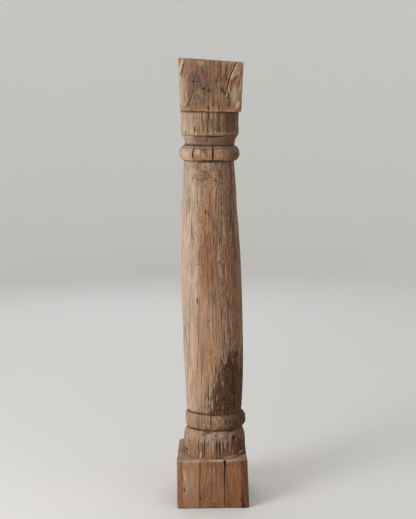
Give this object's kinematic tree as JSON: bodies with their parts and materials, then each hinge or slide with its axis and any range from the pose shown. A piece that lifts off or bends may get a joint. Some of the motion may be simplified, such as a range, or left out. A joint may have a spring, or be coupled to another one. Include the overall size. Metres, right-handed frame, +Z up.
{
  "type": "carved wooden column",
  "caption": "Weathered timber column with a square base block, a round collar, ring mouldings, a swelling shaft and a square cap block cut off out of level.",
  "frame": {"origin": "middle of the underside of the base block", "axes": "+Z up along the column, +X to the right of the front face, -Y out of the front face"},
  "size_m": [0.2367, 0.22, 1.4455],
  "materials": {
    "weathered_wood": "bare, dry and weathered, with drying splits, grey patches, knots and one dark stain"
  },
  "bodies": {
    "root": {"carved_column": "weathered_wood"}
  },
  "joints": []
}
